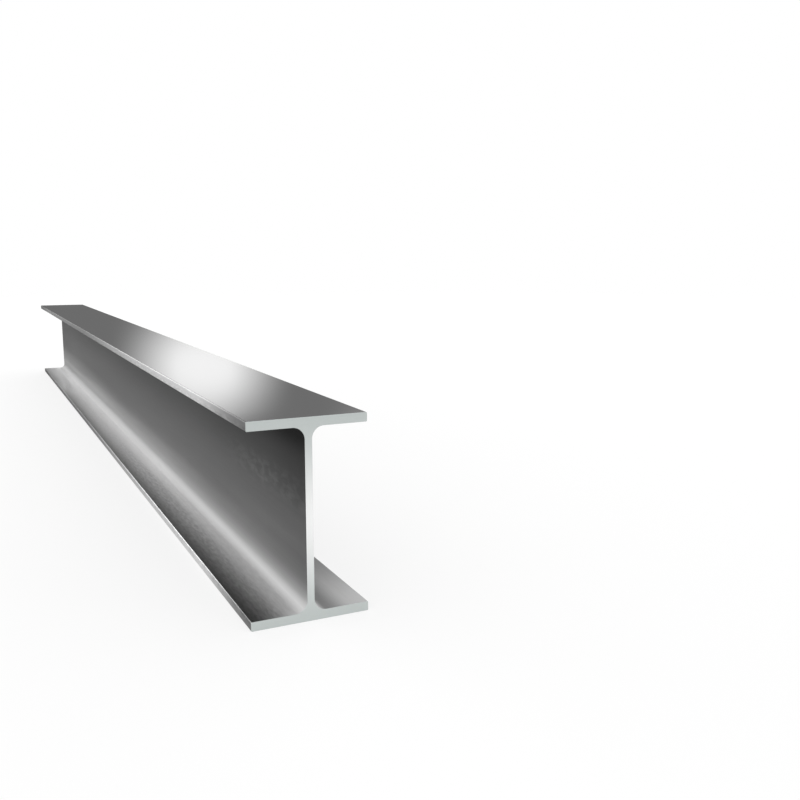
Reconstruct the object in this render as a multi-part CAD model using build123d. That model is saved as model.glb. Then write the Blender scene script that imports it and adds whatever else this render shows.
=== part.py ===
"""Stainless steel H-beam: one hot-rolled length with parallel flanges, standing on its bottom flange.

Frame: +X runs along the length, +Y across the flanges, +Z up through the depth.
The origin is the middle of the underside of the bottom flange.
"""

import os

from build123d import *

# Driving dimensions, in millimetres
LENGTH = 1600.0
DEPTH = 150.0  # over the outer faces of both flanges
FLANGE_WIDTH = 90.0
FLANGE_THICKNESS = 7.0
WEB_THICKNESS = 5.5
ROOT_RADIUS = 9.0  # rolled fillet between web and flange
TOE_RADIUS = 0.8  # rolled corners of the flange tips
DEBURR = 0.4  # chamfer left by dressing the sawn ends


def rolled_section() -> Sketch:
    """The H profile with its root fillets and rounded flange toes.

    Local x is across the flanges and local y is up, from the underside of the bottom flange.
    """
    flange = Rectangle(FLANGE_WIDTH, FLANGE_THICKNESS, align=(Align.CENTER, Align.MIN))
    web = Rectangle(WEB_THICKNESS, DEPTH, align=(Align.CENTER, Align.MIN))
    top_flange = Pos(0, DEPTH - FLANGE_THICKNESS) * flange
    section = flange + web + top_flange

    between_web_and_toe = (WEB_THICKNESS + FLANGE_WIDTH) / 4
    roots = section.vertices().filter_by(lambda corner: abs(corner.X) < between_web_and_toe)
    section = fillet(roots, ROOT_RADIUS)
    toes = section.vertices().filter_by(lambda corner: abs(corner.X) > FLANGE_WIDTH / 2 - TOE_RADIUS)
    return fillet(toes, TOE_RADIUS)


def sawn_length(section: Sketch) -> Part:
    """The section rolled along X, sawn square at both ends and deburred round each cut."""
    bar = extrude(Plane.YZ * section, LENGTH / 2, both=True)
    cut_faces = bar.faces().filter_by(Axis.X)
    return chamfer(cut_faces.edges(), DEBURR)


def main() -> None:
    """Builds the beam and writes its solid."""
    os.makedirs("parts", exist_ok=True)
    h_beam = sawn_length(rolled_section())
    export_step(h_beam, "parts/h_beam.step")


if __name__ == "__main__":
    main()
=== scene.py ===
"""The finished look of one rolled stainless steel H-beam that stands on a pale studio floor.

Frame: +X runs along the length, +Y across the flanges and +Z up, in metres, with the origin in the middle
of the underside of the bottom flange. The near end is the one at +X, and the left channel the one at -Y.
"""

import logging
import math
from dataclasses import dataclass
from enum import Enum
from typing import Any, Union

import bmesh
import bpy
from mathutils import Matrix, Vector


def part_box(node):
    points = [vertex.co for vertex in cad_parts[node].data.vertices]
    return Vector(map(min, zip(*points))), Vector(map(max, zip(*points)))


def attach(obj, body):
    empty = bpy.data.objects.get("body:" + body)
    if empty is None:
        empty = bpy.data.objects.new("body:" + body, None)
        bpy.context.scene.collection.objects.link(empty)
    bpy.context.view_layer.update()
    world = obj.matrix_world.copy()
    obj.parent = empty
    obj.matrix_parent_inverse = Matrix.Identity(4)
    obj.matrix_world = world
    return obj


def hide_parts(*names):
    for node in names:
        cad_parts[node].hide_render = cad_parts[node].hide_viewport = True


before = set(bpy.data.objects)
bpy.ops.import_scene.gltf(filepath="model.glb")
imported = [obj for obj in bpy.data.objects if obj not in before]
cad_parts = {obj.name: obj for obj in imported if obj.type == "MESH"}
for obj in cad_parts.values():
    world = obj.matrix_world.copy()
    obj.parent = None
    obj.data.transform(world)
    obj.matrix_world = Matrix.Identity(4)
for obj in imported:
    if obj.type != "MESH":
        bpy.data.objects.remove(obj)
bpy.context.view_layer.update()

LOG = logging.getLogger("h_beam")
NOISE_MIDDLE = 0.5
UNIT_HALF = 0.5  # half the side of a grid one metre wide

Colour = tuple[float, float, float]
Point = tuple[float, float, float]


class Surface(Enum):
    """The material slots of the beam's mesh."""

    ROLLED = 0
    SAWN = 1


class PanelOutline(Enum):
    """The outlines of the lit panels."""

    RECTANGLE = "rectangle"
    OVAL = "oval"


class Corner(Enum):
    """The corners of the studio, as the signs of their X and Y."""

    NEAR_LEFT = (1, -1)
    NEAR_RIGHT = (1, 1)
    FAR_RIGHT = (-1, 1)
    FAR_LEFT = (-1, -1)


@dataclass(frozen=True)
class Ramp:
    """A smooth step: 0 at its start and 1 at its end, which may be the lower of the two."""

    start: float
    end: float

    def times(self, size: float) -> "Ramp":
        """The same ramp, stretched by a size."""
        return Ramp(self.start * size, self.end * size)


@dataclass(frozen=True)
class Speckle:
    """A fractal noise, by its cells for each metre along, across and up, and how it breaks up."""

    cells: Point
    octaves: float
    roughness: float = 0.5
    swirl: float = 0.0


class Expression:
    """A node's output socket that Python's operators can do shader maths on."""

    def __init__(self, sheet: "NodeSheet", socket: bpy.types.NodeSocket) -> None:
        """Wraps one output socket of a node tree."""
        self.sheet = sheet
        self.socket = socket

    def math(self, operation: str, *others: "Operand") -> "Expression":
        """Adds a Math node with this value as its first input.

        Args:
            operation: the Math node's operation.
            others: its other inputs, where the operation has them.

        Returns:
            The Math node's result.
        """
        return self.sheet.node("ShaderNodeMath", {"operation": operation}, dict(enumerate((self, *others))))

    def __add__(self, other: "Operand") -> "Expression":
        """This value plus another."""
        return self.math("ADD", other)

    __radd__ = __add__

    def __mul__(self, other: "Operand") -> "Expression":
        """This value times another."""
        return self.math("MULTIPLY", other)

    __rmul__ = __mul__

    def __sub__(self, other: "Operand") -> "Expression":
        """This value less another."""
        return self.math("SUBTRACT", other)

    def __rsub__(self, other: "Operand") -> "Expression":
        """Another value less this one."""
        return self.sheet.node("ShaderNodeMath", {"operation": "SUBTRACT"}, {0: other, 1: self})

    def __truediv__(self, other: "Operand") -> "Expression":
        """This value divided by another."""
        return self.math("DIVIDE", other)

    def __abs__(self) -> "Expression":
        """This value without its sign."""
        return self.math("ABSOLUTE")

    def at_least(self, floor: "Operand") -> "Expression":
        """The larger of this value and a floor."""
        return self.math("MAXIMUM", floor)

    def at_most(self, ceiling: "Operand") -> "Expression":
        """The smaller of this value and a ceiling."""
        return self.math("MINIMUM", ceiling)

    def clamped(self) -> "Expression":
        """This value, held between 0 and 1."""
        return self.at_least(0.0).at_most(1.0)

    def between(self, first: "Operand", second: "Operand") -> "Expression":
        """The value that lies this share of the way from a first one to a second."""
        return first + self * (second - first)

    def step(self, ramp: Ramp) -> "Expression":
        """Adds a smooth step of this value.

        Args:
            ramp: where the step starts and ends.

        Returns:
            The step, from 0 to 1.
        """
        rising = ramp.start < ramp.end
        values = {
            "Value": self,
            "From Min": min(ramp.start, ramp.end),
            "From Max": max(ramp.start, ramp.end),
            "To Min": 0.0 if rising else 1.0,
            "To Max": 1.0 if rising else 0.0,
        }
        return self.sheet.node("ShaderNodeMapRange", {"interpolation_type": "SMOOTHSTEP"}, values)


Operand = Union[Expression, float]


class NodeSheet:
    """A material's or the world's node tree, filled one node at a time."""

    def __init__(self, tree: bpy.types.NodeTree) -> None:
        """Clears the tree that the sheet fills."""
        tree.nodes.clear()
        self.tree = tree

    def node(
        self,
        kind: str,
        settings: dict[str, Any] | None = None,
        values: dict[Union[str, int], Any] | None = None,
        output: Union[str, int] = 0,
    ) -> Expression:
        """Adds a node.

        Args:
            kind: the node's type name.
            settings: properties that are set first.
            values: numbers, colours or links for its input sockets.
            output: the output socket to hand back.

        Returns:
            The output socket, ready for maths.
        """
        made = self.tree.nodes.new(kind)
        for name, setting in (settings or {}).items():
            setattr(made, name, setting)
        for key, value in (values or {}).items():
            socket = made.inputs[key]
            if isinstance(value, Expression):
                self.tree.links.new(value.socket, socket)
            elif isinstance(value, tuple) and socket.type == "RGBA":
                socket.default_value = (*value, 1.0)
            else:
                socket.default_value = value
        return Expression(self, made.outputs[output] if made.outputs else None)

    def place(self) -> Expression:
        """The point's Object coordinates, in metres."""
        return self.node("ShaderNodeTexCoord", output="Object")

    def axes(self, vector: Expression) -> tuple[Expression, ...]:
        """A vector's three parts."""
        split = self.node("ShaderNodeSeparateXYZ", values={0: vector}).socket.node
        return tuple(Expression(self, socket) for socket in split.outputs)

    def noise(self, place: Expression, speckle: Speckle) -> Expression:
        """Adds a fractal noise.

        Args:
            place: where the noise is read, in metres.
            speckle: the noise's cells and how it breaks up.

        Returns:
            The noise, from about 0 to 1.
        """
        values = {
            "Vector": self.node("ShaderNodeMapping", values={"Vector": place, "Scale": speckle.cells}),
            "Scale": 1.0,
            "Detail": speckle.octaves,
            "Roughness": speckle.roughness,
            "Distortion": speckle.swirl,
        }
        return self.node("ShaderNodeTexNoise", {"noise_dimensions": "3D"}, values)

    def bump(self, height: Expression, strength: float, distance: float) -> Expression:
        """Adds a bump.

        Args:
            height: the height at a point, from 0 to 1.
            strength: how much of the bump shows.
            distance: what a height of 1 stands for, in metres.

        Returns:
            The bumped normal.
        """
        values = {"Strength": strength, "Distance": distance, "Height": height}
        return self.node("ShaderNodeBump", values=values)

    def seen_rays(self) -> Expression:
        """Tells the rays that show a surface from those that only gather its light.

        Returns:
            1 for the camera's rays and for those that mirror or pass through a surface, and 0 for the rest.
        """
        kinds = self.node("ShaderNodeLightPath").socket.node.outputs
        seen = Expression(self, kinds["Is Camera Ray"])
        for kind in ("Is Glossy Ray", "Is Transmission Ray"):
            seen = seen.at_least(Expression(self, kinds[kind]))
        return seen

    def blend(self, share: Expression, first: Any, second: Any) -> Expression:
        """Mixes two colours.

        Args:
            share: how much of the second colour shows.
            first: the colour at 0.
            second: the colour at 1.

        Returns:
            The mixed colour.
        """
        values = {0: share, 6: first, 7: second}
        return self.node("ShaderNodeMix", {"data_type": "RGBA"}, values, output=2)

    def mix(self, share: Expression, first: Expression, second: Expression) -> Expression:
        """Two shaders, mixed by the share of the second."""
        return self.node("ShaderNodeMixShader", values={0: share, 1: first, 2: second})

    def surface(self, shader: Expression) -> None:
        """Sends a shader to the material's surface."""
        self.node("ShaderNodeOutputMaterial", values={"Surface": shader})


def new_material(name: str) -> tuple[bpy.types.Material, NodeSheet]:
    """Makes an empty material.

    Args:
        name: the material's name.

    Returns:
        The material, and the sheet of its nodes.
    """
    made = bpy.data.materials.new(name)
    made.use_nodes = True
    return made, NodeSheet(made.node_tree)


def new_object(name: str, mesh: bmesh.types.BMesh) -> bpy.types.Object:
    """Makes an object of a finished mesh, and frees the mesh.

    Args:
        name: the object's name.
        mesh: the mesh, in its place.

    Returns:
        The object, at the origin.
    """
    data = bpy.data.meshes.new(name)
    mesh.to_mesh(data)
    mesh.free()
    made = bpy.data.objects.new(name, data)
    bpy.context.scene.collection.objects.link(made)
    return made


@dataclass(frozen=True)
class BeamSizes:
    """The rolled section's own sizes, in metres."""

    flange_thickness: float = 0.007
    web_thickness: float = 0.0055
    root_radius: float = 0.009
    toe_radius: float = 0.0008
    deburr: float = 0.0004


@dataclass(frozen=True)
class SkinSpot:
    """Where a point of the skin lies, as shader values: distances in metres, and shares from 0 to 1.

    Outward is how far the point lies out along a flange from the root. Up the web it is below 0.
    """

    place: Expression
    along: Expression
    up: Expression
    from_web: Expression
    outward: Expression
    inside: Expression
    on_flange: Expression
    on_left: Expression
    in_lower: Expression
    by_root: Expression
    on_toe: Expression


@dataclass(frozen=True)
class SectionMap:
    """Finds where a point of the skin lies on the H section."""

    sizes: BeamSizes
    depth: float
    flange_width: float
    inside: Ramp = Ramp(-0.8, -0.2)  # in flange thicknesses from its inner face, below 0 in the metal
    on_flange: Ramp = Ramp(-0.0005, 0.0115)  # outward
    on_left: Ramp = Ramp(0.003, -0.003)  # across
    in_lower: Ramp = Ramp(0.6, 0.4)  # in depths up
    by_root: Ramp = Ramp(0.030, 0.004)  # the distances from the web and the flange, added up
    on_toe: Ramp = Ramp(0.0009, 0.0002)  # in from the flange's edge

    def spot(self, sheet: NodeSheet) -> SkinSpot:
        """Reads where a point lies.

        Args:
            sheet: the sheet that gets the nodes.

        Returns:
            The point's place on the section.
        """
        place = sheet.place()
        along, across, up = sheet.axes(place)
        thickness = self.sizes.flange_thickness
        from_web = (abs(across) - self.sizes.web_thickness / 2).at_least(0.0)
        from_flange = self.depth / 2 - thickness - abs(up - self.depth / 2)
        outward = from_web - from_flange
        inside = from_flange.step(self.inside.times(thickness))
        return SkinSpot(
            place=place,
            along=along,
            up=up,
            from_web=from_web,
            outward=outward,
            inside=inside,
            on_flange=outward.step(self.on_flange),
            on_left=across.step(self.on_left),
            in_lower=up.step(self.in_lower.times(self.depth)),
            by_root=(from_web + from_flange).step(self.by_root) * inside,
            on_toe=(self.flange_width / 2 - abs(across)).step(self.on_toe),
        )


@dataclass(frozen=True)
class Patch:
    """A soft-edged patch of skin that is paler or darker than what lies round it. On the web and the left
    flange that is painted light where its gain is above 0 and painted shade where it is below; in the mill
    marks it bounds the scuffs and the streaks.

    Its run is where it comes in along the length. Its sides bound it by height on the web, and by the
    distance outward on a flange.
    """

    gain: float
    run: Ramp
    sides: tuple[Ramp, ...]

    def mask(self, along: Expression, level: Expression) -> Expression:
        """Tells how far a point lies in the patch.

        Args:
            along: the point's place along the length.
            level: its height, or its distance outward.

        Returns:
            1 in the patch and 0 outside it.
        """
        mask = along.step(self.run)
        for side in self.sides:
            mask = mask * level.step(side)
        return mask

    def change(self, along: Expression, level: Expression) -> Expression:
        """The patch's gain where the point lies in it, and 0 outside it."""
        return self.mask(along, level) * self.gain


@dataclass(frozen=True)
class WebTone:
    """The web's grey: painted shade under the top flange, a painted highlight at its foot, and patches of
    painted light and painted shade along the length.
    """

    open_tone: float = 0.113
    # painted shade: the web darkens from the open tone toward the underside of the top flange
    painted_shade_tone: float = 0.0366
    painted_shade_band: Ramp = Ramp(0.060, 0.134)
    # patches of painted light, where the gain is above 0, and painted shade, where it is below 0
    far_low_painted_light: Patch = Patch(0.55, Ramp(0.05, -0.40), (Ramp(0.017, 0.027), Ramp(0.060, 0.040)))
    near_low_painted_light: Patch = Patch(0.22, Ramp(0.50, 0.74), (Ramp(0.025, 0.039), Ramp(0.066, 0.050)))
    far_middle_painted_shade: Patch = Patch(-0.10, Ramp(-0.02, -0.45), (Ramp(0.050, 0.068), Ramp(0.125, 0.095)))
    far_end_painted_shade: Patch = Patch(-0.16, Ramp(-0.55, -0.80), (Ramp(0.040, 0.060),))
    near_top_painted_shade: Patch = Patch(-0.16, Ramp(0.46, 0.70), (Ramp(0.062, 0.100),))
    near_end_painted_shade: Patch = Patch(-0.16, Ramp(0.70, 0.79), (Ramp(0.070, 0.092),))
    # painted highlight: the web's foot pales toward the lower root fillet
    foot_highlight_tone: float = 0.560
    foot_reach: float = 0.040
    foot_power: float = 2.2

    def tone(self, spot: SkinSpot) -> Expression:
        """Works out the tone.

        Args:
            spot: where the point lies.

        Returns:
            The web's tone there.
        """
        # painted shade under the top flange, then the painted light and painted shade of the patches
        tone = spot.up.step(self.painted_shade_band).between(self.open_tone, self.painted_shade_tone)
        patches = (self.far_low_painted_light, self.near_low_painted_light, self.far_middle_painted_shade, self.far_end_painted_shade, self.near_top_painted_shade, self.near_end_painted_shade)
        tone = tone * sum((patch.change(spot.along, spot.up) for patch in patches), start=1.0)
        # painted highlight at the foot of the web, on the lower half only
        foot = (1 + spot.outward / self.foot_reach).clamped().math("POWER", self.foot_power)
        return (foot * spot.in_lower).between(tone, self.foot_highlight_tone)


@dataclass(frozen=True)
class LeftFlangeTone:
    """The left channel's flange faces: a painted highlight by the root, painted shade at the lip with
    painted light along its middle, and painted shade toward both ends.
    """

    # painted highlight by the root
    root_highlight_tone: float = 1.80  # before it is held to the palest
    root_reach: float = 0.049
    # painted shade at the lip
    lip_shade_tone: float = 0.029
    # painted light along the lip in the middle of the length
    lip_light_gain: float = 2.4
    lip_start: float = 0.007
    lip_width: float = 0.032
    lip_near: Ramp = Ramp(0.84, -0.05)
    lip_far: Ramp = Ramp(-0.62, -0.36)
    # painted shade toward the near end and the far end
    near_shade: Patch = Patch(-0.32, Ramp(0.20, 0.80), (Ramp(0.022, 0.012),))
    far_shade: Patch = Patch(-0.33, Ramp(-0.52, -0.80), (Ramp(0.036, 0.024),))

    def tone(self, spot: SkinSpot, palest: float) -> Expression:
        """Works out the tone.

        Args:
            spot: where the point lies.
            palest: the most that the tone may be.

        Returns:
            The flange's tone there.
        """
        by_root = (1 - spot.outward / self.root_reach).clamped()
        # painted highlight by the root, falling to painted shade at the lip
        tone = (by_root * by_root).between(self.lip_shade_tone, self.root_highlight_tone)
        # painted light on the lip in the middle of the length
        by_lip = ((spot.outward - self.lip_start) / self.lip_width).at_least(0.0)
        middle = spot.along.step(self.lip_near) * spot.along.step(self.lip_far)
        tone = tone * (1 + by_lip * by_lip * middle * self.lip_light_gain)
        # painted shade toward both ends
        shades = (self.near_shade, self.far_shade)
        shade = sum((patch.change(spot.along, spot.outward) for patch in shades), start=1.0)
        return tone.at_most(palest) * shade


@dataclass(frozen=True)
class RightFlangeTone:
    """The right channel's flange faces: an even grey with painted light close to the near end."""

    plain_tone: float = 0.12
    # painted light close to the near end
    end_light_tone: float = 0.275
    end: Ramp = Ramp(0.69, 0.79)
    start: Ramp = Ramp(0.001, 0.009)

    def tone(self, spot: SkinSpot, web: Expression) -> Expression:
        """Works out the tone.

        Args:
            spot: where the point lies.
            web: the web's tone there.

        Returns:
            The right channel's tone there.
        """
        # painted light close to the near end
        flange = spot.along.step(self.end).between(self.plain_tone, self.end_light_tone)
        return spot.outward.step(self.start).between(web, flange)


@dataclass(frozen=True)
class ToeTone:
    """The toes' grey: a painted highlight toward the near end, more painted light on the lower flange, and
    painted shade at the far end.
    """

    plain_tone: float = 0.15
    # painted highlight along the toes toward the near end
    toe_highlight_tone: float = 0.51
    highlight_start: Ramp = Ramp(-0.10, 0.75)
    highlight_end: Ramp = Ramp(0.80, 0.64)
    # painted light on the lower toes
    low_light_gain: float = 0.2
    low_run: Ramp = Ramp(-0.40, 0.10)
    # painted shade at the far end
    far_shade_loss: float = 0.4
    far_run: Ramp = Ramp(-0.60, -0.78)

    def tone(self, spot: SkinSpot) -> Expression:
        """Works out the tone.

        Args:
            spot: where the point lies.

        Returns:
            The toe's tone there.
        """
        # painted highlight along the toes toward the near end
        toe_highlight = spot.along.step(self.highlight_end) * spot.along.step(self.highlight_start)
        tone = toe_highlight.between(self.plain_tone, self.toe_highlight_tone)
        # painted light on the lower toes
        tone = tone * (1 + spot.in_lower * spot.along.step(self.low_run) * self.low_light_gain)
        # painted shade at the far end
        return tone * (1 - spot.along.step(self.far_run) * self.far_shade_loss)


@dataclass(frozen=True)
class SkinMarks:
    """The mill marks at a point, as shader values: what they do to height, tone and roughness."""

    grain: Expression
    tone_factor: Expression
    roughness_change: Expression


@dataclass(frozen=True)
class MillMarks:
    """The skin's rolling grain and mottle, the streaks on its flanges and the scuffs on its web."""

    grain: Speckle = Speckle((7.0, 460.0, 460.0), 2.0)
    mottle: Speckle = Speckle((5.0, 22.0, 22.0), 3.0)
    outer_depth: float = 0.02
    channel_depth: float = 0.10
    depth_roughness: float = 0.2
    streaks: Speckle = Speckle((85.0, 420.0, 420.0), 3.0, roughness=0.6)
    left_streaks: float = 0.3
    right_streaks: float = 0.1
    trodden: Patch = Patch(0.9, Ramp(0.05, 0.45), (Ramp(0.014, 0.028),))
    wisps: Speckle = Speckle((75.0, 80.0, 200.0), 2.0, swirl=0.2)
    wisp_edge: Ramp = Ramp(0.36, 0.70)
    clusters: Speckle = Speckle((14.0, 20.0, 50.0), 2.0)
    cluster_edge: Ramp = Ramp(0.22, 0.44)
    handled: Patch = Patch(0.34, Ramp(0.57, 0.68), (Ramp(0.074, 0.088), Ramp(0.108, 0.095)))
    scuff_roughness: float = 0.05

    def read(self, sheet: NodeSheet, spot: SkinSpot) -> SkinMarks:
        """Reads the marks.

        Args:
            sheet: the sheet that gets the nodes.
            spot: where the point lies.

        Returns:
            What the marks do there.
        """
        grain = sheet.noise(spot.place, self.grain)
        mottle = sheet.noise(spot.place, self.mottle)
        depth = spot.inside.between(self.outer_depth, self.channel_depth)
        uneven = (grain + mottle - 2 * NOISE_MIDDLE) * depth
        wisps = sheet.noise(spot.place, self.wisps).step(self.wisp_edge)
        clusters = sheet.noise(spot.place, self.clusters).step(self.cluster_edge)
        scuffs = wisps * clusters * self.handled.mask(spot.along, spot.up) * spot.inside
        drag = spot.on_left.between(self.right_streaks, self.left_streaks)
        drag = drag + self.trodden.change(spot.along, spot.outward) * spot.on_left
        streaks = sheet.noise(spot.place, self.streaks) - NOISE_MIDDLE
        dragged = streaks * drag * spot.on_flange * spot.inside
        return SkinMarks(
            grain=grain,
            tone_factor=1 + scuffs * self.handled.gain + uneven + dragged,
            roughness_change=uneven * self.depth_roughness + scuffs * self.scuff_roughness,
        )


@dataclass(frozen=True)
class RolledSkin:
    """The satin mill skin of the rolled faces, darker than a fresh cut."""

    section: SectionMap
    web: WebTone = WebTone()
    left_flange: LeftFlangeTone = LeftFlangeTone()
    right_flange: RightFlangeTone = RightFlangeTone()
    toes: ToeTone = ToeTone()
    marks: MillMarks = MillMarks()
    outer_tone: float = 0.148
    # painted highlight on the left lower root, growing toward the near end
    root_highlight_gain: float = 0.2  # for each metre along
    darkest: float = 0.02
    palest: float = 0.93
    outer_roughness: float = 0.101
    channel_roughness: float = 0.29
    root_roughness: float = 0.80
    toe_roughness: float = 0.45
    bump_strength: float = 0.02
    bump_distance: float = 0.0002
    web_sheen: float = 0.141
    flange_sheen: float = 0.6
    rubbed: Ramp = Ramp(0.006, 0.020)  # out from the web

    def tone(self, spot: SkinSpot) -> Expression:
        """Works out the tone, before the mill marks.

        Args:
            spot: where the point lies.

        Returns:
            The skin's tone there.
        """
        web = self.web.tone(spot)
        left = spot.on_flange.between(web, self.left_flange.tone(spot, self.palest))
        # painted highlight on the left lower root, growing toward the near end
        left_root_highlight = spot.by_root * spot.in_lower * (1 - spot.on_flange)
        left = left * (1 + left_root_highlight * spot.along * self.root_highlight_gain)
        # the left channel holds painted highlights and painted shade; the right channel holds only its
        # painted near-end light
        channel = spot.on_left.between(self.right_flange.tone(spot, web), left)
        skin = spot.inside.between(self.outer_tone, channel)
        return spot.on_toe.between(skin, self.toes.tone(spot))

    def roughness(self, spot: SkinSpot) -> Expression:
        """Works out the roughness, before the mill marks.

        Args:
            spot: where the point lies.

        Returns:
            The skin's roughness there.
        """
        rough = spot.inside.between(self.outer_roughness, self.channel_roughness)
        rough = spot.by_root.between(rough, self.root_roughness)
        return spot.on_toe.between(rough, self.toe_roughness)

    def material(self) -> bpy.types.Material:
        """Makes the skin's material: satin steel with a share of barer metal in the channels.

        Returns:
            The new material.
        """
        made, sheet = new_material("rolled_skin")
        spot = self.section.spot(sheet)
        marks = self.marks.read(sheet, spot)
        tone = (self.tone(spot) * marks.tone_factor).at_most(self.palest)
        finish = {
            "Roughness": self.roughness(spot) + marks.roughness_change,
            "Normal": sheet.bump(marks.grain * spot.inside, self.bump_strength, self.bump_distance),
        }
        dark = sheet.node("ShaderNodeBsdfAnisotropic", values={"Color": (self.darkest,) * 3, **finish})
        pale = sheet.node("ShaderNodeBsdfAnisotropic", values={"Color": (self.palest,) * 3, **finish})
        satin = sheet.mix((tone - self.darkest) / (self.palest - self.darkest), dark, pale)
        bare = sheet.node("ShaderNodeBsdfPrincipled", values={"Base Color": tone, "Metallic": 1.0, **finish})
        rubbed = spot.from_web.step(self.rubbed) * spot.on_flange
        sheen = rubbed.between(self.web_sheen, self.flange_sheen) * spot.inside * (1 - spot.on_toe)
        sheet.surface(sheet.mix(sheen, satin, bare))
        return made


@dataclass(frozen=True)
class SawnFace:
    """The pale, finely scored metal of a sawn and deburred end, with a painted highlight at half its height.
    """

    depth: float
    low_tone: Colour = (0.541, 0.579, 0.568)
    high_tone: Colour = (0.511, 0.547, 0.537)
    # painted highlight at half the end's height
    sawn_highlight_tone: Colour = (0.879, 0.888, 0.883)
    sawn_highlight_band: Ramp = Ramp(0.5, 0.0)  # in depths from half its height
    score: Speckle = Speckle((40.0, 60.0, 1400.0), 3.0)
    metallic: float = 0.6
    roughness: float = 0.55
    roughness_spread: float = 0.1
    bump_strength: float = 0.05
    bump_distance: float = 0.0002

    def material(self) -> bpy.types.Material:
        """Makes the sawn face's material.

        Returns:
            The new material.
        """
        made, sheet = new_material("sawn_face")
        place = sheet.place()
        _, _, up = sheet.axes(place)
        edge_tone = sheet.blend(up / self.depth, self.low_tone, self.high_tone)
        # painted highlight at half the height
        middle = abs(up - self.depth / 2).step(self.sawn_highlight_band.times(self.depth))
        score = sheet.noise(place, self.score)
        values = {
            "Base Color": sheet.blend(middle, edge_tone, self.sawn_highlight_tone),
            "Metallic": self.metallic,
            "Roughness": self.roughness + (score - NOISE_MIDDLE) * self.roughness_spread,
            "Normal": sheet.bump(score, self.bump_strength, self.bump_distance),
        }
        sheet.surface(sheet.node("ShaderNodeBsdfPrincipled", values=values))
        return made


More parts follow.
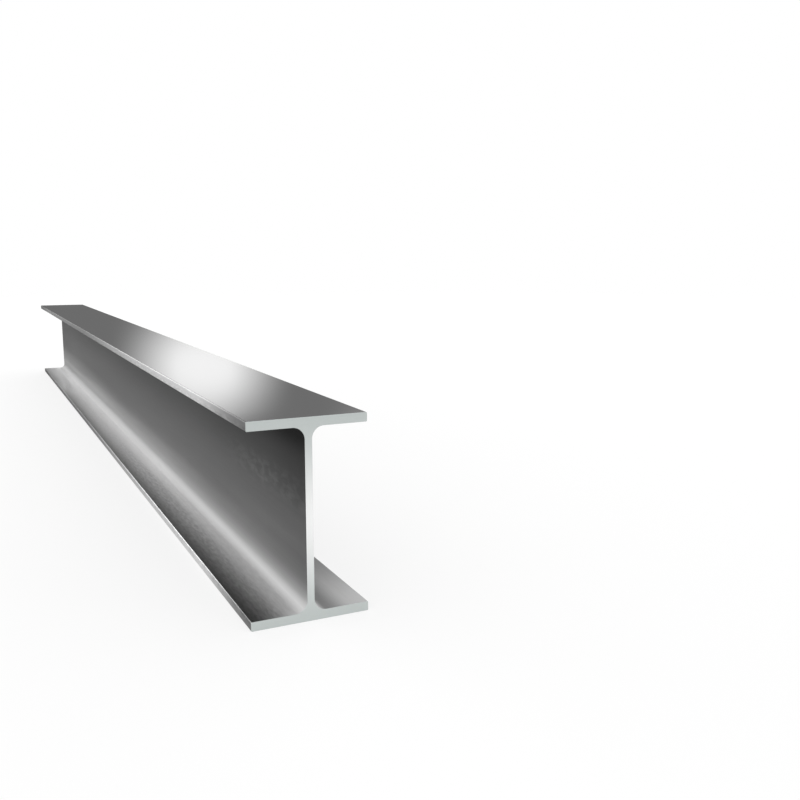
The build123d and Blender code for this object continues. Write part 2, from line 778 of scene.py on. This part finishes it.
@dataclass
class HBeam:
    """One rolled length: two flanges joined by a web, with root fillets, rounded toes and sawn ends."""

    sizes: BeamSizes
    low: Vector
    high: Vector
    root_segments: int = 20
    toe_segments: int = 4
    deburr_segments: int = 2
    bays: int = 40
    long_share: float = 0.9  # of the length, for an edge that runs from end to end
    end_normal: float = 0.9  # along X, for a face across an end
    sawn_normal: float = 0.2  # along X, for a face that the saw or the deburring left
    flat_angle: float = math.radians(1)
    tolerance: float = 1e-6
    face_weight: int = 100

    @property
    def length(self) -> float:
        """The length along X."""
        return self.high.x - self.low.x

    @property
    def depth(self) -> float:
        """The height over both flanges."""
        return self.high.z - self.low.z

    @property
    def flange_width(self) -> float:
        """The width across the flanges."""
        return self.high.y - self.low.y

    def section(self, mesh: bmesh.types.BMesh) -> bmesh.types.BMFace:
        """Makes the sharp H profile at the far end, as one face.

        Args:
            mesh: the mesh that gets the face.

        Returns:
            The profile's face.
        """
        half_web = self.sizes.web_thickness / 2
        columns = (self.low.y, -half_web, half_web, self.high.y)
        thickness = self.sizes.flange_thickness
        rows = (self.low.z, self.low.z + thickness, self.high.z - thickness, self.high.z)
        steps = len(columns) - 1
        bmesh.ops.create_grid(mesh, x_segments=steps, y_segments=steps, size=UNIT_HALF)
        for corner in mesh.verts:
            column, row = (round((value + UNIT_HALF) * steps) for value in corner.co.xy)
            corner.co = (self.low.x, columns[column], rows[row])
        middle = (self.low.z + self.high.z) / 2
        hollows = []
        for face in mesh.faces:
            centre = face.calc_center_median()
            if abs(centre.y) > half_web and abs(centre.z - middle) < thickness:
                hollows.append(face)
        bmesh.ops.delete(mesh, geom=hollows, context="FACES")
        bmesh.ops.dissolve_limit(
            mesh, angle_limit=self.flat_angle, verts=mesh.verts[:], edges=mesh.edges[:]
        )
        return mesh.faces[:][0]

    def long_edges(self, mesh: bmesh.types.BMesh, column: float | None = None) -> list[bmesh.types.BMEdge]:
        """Finds the edges that run from end to end.

        Args:
            mesh: the mesh to look in.
            column: how far they lie from the middle plane, without sign, or None for all of them.

        Returns:
            The edges found.
        """
        found = [edge for edge in mesh.edges if edge.calc_length() > self.long_share * self.length]
        if column is None:
            return found
        return [edge for edge in found if abs(abs(edge.verts[0].co.y) - column) < self.tolerance]

    def end_edges(self, mesh: bmesh.types.BMesh) -> list[bmesh.types.BMEdge]:
        """Finds the edges round the two end faces.

        Args:
            mesh: the mesh to look in.

        Returns:
            The edges found.
        """
        found = []
        for edge in mesh.edges:
            if any(abs(face.normal.x) > self.end_normal for face in edge.link_faces):
                found.append(edge)
        return found

    def round_edges(self, mesh: bmesh.types.BMesh, edges: list, radius: float, segments: int) -> None:
        """Rounds edges to a radius.

        Args:
            mesh: the mesh that holds them.
            edges: the edges to round.
            radius: the radius, in metres.
            segments: the number of faces round each.
        """
        bmesh.ops.bevel(
            mesh, geom=edges, offset=radius, offset_type="OFFSET", segments=segments, profile=0.5,
            affect="EDGES", material=-1, clamp_overlap=False,
        )

    def build(self) -> bpy.types.Object:
        """Models the beam.

        Returns:
            The beam's object, at the origin.
        """
        mesh = bmesh.new()
        profile = self.section(mesh)
        pushed = bmesh.ops.extrude_face_region(mesh, geom=[profile], use_keep_orig=True)
        moved = [item for item in pushed["geom"] if isinstance(item, bmesh.types.BMVert)]
        bmesh.ops.translate(mesh, verts=moved, vec=(self.length, 0, 0))
        bmesh.ops.recalc_face_normals(mesh, faces=mesh.faces[:])
        roots = self.long_edges(mesh, self.sizes.web_thickness / 2)
        self.round_edges(mesh, roots, self.sizes.root_radius, self.root_segments)
        toes = self.long_edges(mesh, self.flange_width / 2)
        self.round_edges(mesh, toes, self.sizes.toe_radius, self.toe_segments)
        self.round_edges(mesh, self.end_edges(mesh), self.sizes.deburr, self.deburr_segments)
        bmesh.ops.subdivide_edges(
            mesh, edges=self.long_edges(mesh), cuts=self.bays - 1, use_grid_fill=True
        )
        for face in mesh.faces:
            face.smooth = True
            sawn = abs(face.normal.x) > self.sawn_normal
            face.material_index = Surface.SAWN.value if sawn else Surface.ROLLED.value
        return new_object("rolled_beam", mesh)

    def dress(self, beam: bpy.types.Object) -> None:
        """Gives the beam its finishes and flat-face shading.

        Args:
            beam: the beam's object.
        """
        section = SectionMap(self.sizes, self.depth, self.flange_width)
        beam.data.materials.append(RolledSkin(section).material())
        beam.data.materials.append(SawnFace(self.depth).material())
        shading = beam.modifiers.new("flat_faces_lead", "WEIGHTED_NORMAL")
        shading.mode = "FACE_AREA"
        shading.weight = self.face_weight
        shading.keep_sharp = True


@dataclass(frozen=True)
class Softbox:
    """A lit panel that faces a point, with soft edges, seen in reflections but not by the camera."""

    name: str
    centre: Point
    target: Point
    width: float
    height: float
    strength: float
    side_fade: float
    end_fade: float
    outline: PanelOutline = PanelOutline.RECTANGLE
    boost: float = 1.0

    def build(self) -> None:
        """Models the panel and lights it."""
        mesh = bmesh.new()
        bmesh.ops.create_grid(mesh, x_segments=1, y_segments=1, size=UNIT_HALF)
        bmesh.ops.scale(mesh, verts=mesh.verts[:], vec=(self.width, self.height, 1.0))
        panel = new_object(self.name, mesh)
        aim = (Vector(self.target) - Vector(self.centre)).to_track_quat("Z", "Y").to_matrix().to_4x4()
        panel.matrix_world = Matrix.Translation(self.centre) @ aim
        panel.visible_camera = False
        panel.visible_shadow = False
        panel.data.materials.append(self.material())

    def material(self) -> bpy.types.Material:
        """Makes the panel's glow, strongest in the middle of its front.

        Returns:
            The new material.
        """
        made, sheet = new_material(self.name)
        right, top, _ = sheet.axes(sheet.place())
        right, top = abs(right / (self.width / 2)), abs(top / (self.height / 2))
        side_edge, end_edge = Ramp(1.0, 1 - self.side_fade), Ramp(1.0, 1 - self.end_fade)
        if self.outline is PanelOutline.OVAL:
            level = (right * right + top * top).math("SQRT").step(side_edge)
        else:
            level = right.step(side_edge) * top.step(end_edge)
        level = (level * self.boost).at_most(1.0)
        front = 1 - sheet.node("ShaderNodeNewGeometry", output="Backfacing")
        glow = sheet.node("ShaderNodeEmission", values={"Color": level * front, "Strength": self.strength})
        clear = sheet.node("ShaderNodeBsdfTransparent")
        sheet.surface(sheet.node("ShaderNodeAddShader", values={0: glow, 1: clear}))
        return made


@dataclass(frozen=True)
class Floor:
    """The pale floor, which keeps the beam's shadow and fades out far from the beam."""

    radius: float = 6.0
    segments: int = 96
    tone: Colour = (0.95, 0.95, 0.95)
    speck: Speckle = Speckle((40.0, 40.0, 40.0), 3.0)
    speck_depth: float = 0.01
    roughness: float = 0.9
    white_share: float = 0.75
    fade: Ramp = Ramp(0.35, 0.95)  # in radii from the middle

    def build(self) -> None:
        """Models the floor and dresses it."""
        mesh = bmesh.new()
        bmesh.ops.create_circle(mesh, cap_ends=True, segments=self.segments, radius=self.radius)
        floor = new_object("floor", mesh)
        floor.data.materials.append(self.material())

    def material(self) -> bpy.types.Material:
        """Makes the floor's finish, lifted toward white where the floor is seen or mirrored.

        Returns:
            The new material.
        """
        made, sheet = new_material("pale_floor")
        place = sheet.place()
        dim_tone = tuple(part - self.speck_depth for part in self.tone)
        values = {
            "Base Color": sheet.blend(sheet.noise(place, self.speck), dim_tone, self.tone),
            "Roughness": self.roughness,
            "Specular IOR Level": 0.0,
        }
        paint = sheet.node("ShaderNodeBsdfPrincipled", values=values)
        white = sheet.node("ShaderNodeEmission", values={"Strength": 1.0})
        shown = sheet.mix(sheet.seen_rays() * self.white_share, paint, white)
        from_middle = sheet.node("ShaderNodeVectorMath", {"operation": "LENGTH"}, {0: place}, "Value")
        clear = sheet.node("ShaderNodeBsdfTransparent")
        sheet.surface(sheet.mix(from_middle.step(self.fade.times(self.radius)), shown, clear))
        return made


@dataclass(frozen=True)
class Viewpoint:
    """The camera: where it stands, how it is turned, and its lens and sensor in millimetres."""

    place: Point = (1.3783, -0.2137, 0.2608)
    yaw: float = math.radians(26.234)
    pitch: float = math.radians(9.164)
    lens: float = 40.23
    sensor: float = 36.0
    nearest: float = 0.01
    farthest: float = 200.0

    def point(self, degrees: float, distance: float, height: float) -> Point:
        """Finds a point by its bearing from the camera.

        Args:
            degrees: degrees to the right of the camera's own heading.
            distance: the level distance from the camera.
            height: the height over the floor.

        Returns:
            The point, in metres.
        """
        heading = self.yaw + math.radians(degrees)
        x, y, _ = self.place
        return (x - distance * math.cos(heading), y + distance * math.sin(heading), height)

    def over(self, height: float) -> Point:
        """The point at a height, straight over or under the camera."""
        return (*self.place[:2], height)

    def build(self) -> None:
        """Stands the camera where the beam is seen three-quarters on, from a little above."""
        data = bpy.data.cameras.new("camera")
        data.lens = self.lens
        data.sensor_width = self.sensor
        data.clip_start, data.clip_end = self.nearest, self.farthest
        camera = bpy.data.objects.new("camera", data)
        bpy.context.scene.collection.objects.link(camera)
        level = math.cos(self.pitch)
        heading = Vector((-math.cos(self.yaw) * level, math.sin(self.yaw) * level, -math.sin(self.pitch)))
        camera.location = self.place
        camera.rotation_euler = heading.to_track_quat("-Z", "Y").to_euler()
        bpy.context.scene.camera = camera


@dataclass(frozen=True)
class Lights:
    """The softboxes, and the even white light of the surroundings."""

    viewpoint: Viewpoint
    target: Point = (0.0, 0.0, 0.15)
    oval_fade: float = 1.0
    oval_boost: float = 1.25
    strip_heading: float = -12.463
    strip_distance: float = 6.0
    strip_height: float = 0.775
    strip_width: float = 1.27
    strip_tall: float = 1.02
    strip_level: float = 5.4
    root_place: Point = (-4.26, -1.537, 0.72)
    root_width: float = 3.283
    root_tall: float = 3.229
    root_level: float = 3.575
    root_fade: float = 0.6
    right_heading: float = 1.469
    right_distance: float = 5.0
    right_height: float = 1.748
    right_width: float = 1.2
    right_tall: float = 2.0
    right_level: float = 1.416
    right_side_fade: float = 0.7
    right_end_fade: float = 0.4
    corner_reach: float = 4.1
    corner_height: float = 1.85
    corner_width: float = 1.5
    corner_tall: float = 1.6
    corner_level: float = 5.0
    white: Colour = (1.0, 1.0, 1.0)
    white_level: float = 1.0

    def strip(self) -> Softbox:
        """The lamp that the top flange mirrors in the camera's view.

        Returns:
            The lamp.
        """
        return Softbox(
            name="strip_light",
            centre=self.viewpoint.point(self.strip_heading, self.strip_distance, self.strip_height),
            target=self.viewpoint.over(self.strip_height),
            width=self.strip_width,
            height=self.strip_tall,
            strength=self.strip_level,
            side_fade=self.oval_fade,
            end_fade=self.oval_fade,
            outline=PanelOutline.OVAL,
            boost=self.oval_boost,
        )

    def root(self) -> Softbox:
        """The wide lamp beyond the far end that the left channel and its toes mirror.

        Returns:
            The lamp.
        """
        return Softbox(
            name="root_light",
            centre=self.root_place,
            target=self.target,
            width=self.root_width,
            height=self.root_tall,
            strength=self.root_level,
            side_fade=self.root_fade,
            end_fade=self.root_fade,
        )

    def right(self) -> Softbox:
        """The tall lamp beyond the far end that the right channel's lower flange mirrors.

        Returns:
            The lamp.
        """
        return Softbox(
            name="right_light",
            centre=self.viewpoint.point(self.right_heading, self.right_distance, self.right_height),
            target=self.viewpoint.over(self.right_height),
            width=self.right_width,
            height=self.right_tall,
            strength=self.right_level,
            side_fade=self.right_side_fade,
            end_fade=self.right_end_fade,
        )

    def corner(self, corner: Corner) -> Softbox:
        """The lamp in one corner, which the top flange mirrors from the corner across.

        Args:
            corner: the corner that it stands in.

        Returns:
            The lamp.
        """
        x_side, y_side = corner.value
        return Softbox(
            name=f"{corner.name.lower()}_light",
            centre=(x_side * self.corner_reach, y_side * self.corner_reach, self.corner_height),
            target=self.target,
            width=self.corner_width,
            height=self.corner_tall,
            strength=self.corner_level,
            side_fade=self.oval_fade,
            end_fade=self.oval_fade,
            outline=PanelOutline.OVAL,
            boost=self.oval_boost,
        )

    def surroundings(self) -> None:
        """Sets the world: an even white, as it is seen, as it is mirrored and as a light."""
        world = bpy.data.worlds.new("studio")
        bpy.context.scene.world = world
        world.use_nodes = True
        sheet = NodeSheet(world.node_tree)
        values = {"Color": self.white, "Strength": self.white_level}
        light = sheet.node("ShaderNodeBackground", values=values)
        sheet.node("ShaderNodeOutputWorld", values={"Surface": light})

    def build(self) -> None:
        """Sets up the surroundings and the softboxes."""
        self.surroundings()
        for softbox in (self.strip(), self.root(), self.right(), *map(self.corner, Corner)):
            softbox.build()


@dataclass(frozen=True)
class Studio:
    """The floor, the lights and the camera."""

    floor: Floor = Floor()
    viewpoint: Viewpoint = Viewpoint()

    def build(self) -> None:
        """Sets up the whole studio."""
        self.floor.build()
        Lights(self.viewpoint).build()
        self.viewpoint.build()
        bpy.context.scene.view_settings.view_transform = "Standard"


def main() -> None:
    """Builds the beam and its studio."""
    logging.basicConfig(level=logging.INFO, format="%(name)s: %(message)s")
    low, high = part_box("h_beam")
    model = HBeam(BeamSizes(), low, high)
    beam = model.build()
    model.dress(beam)
    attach(beam, "root")
    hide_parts("h_beam")
    LOG.info("%s: %d faces, %.3f m long", beam.name, len(beam.data.polygons), model.length)
    Studio().build()
    LOG.info("studio ready")


if __name__ == "__main__":
    main()
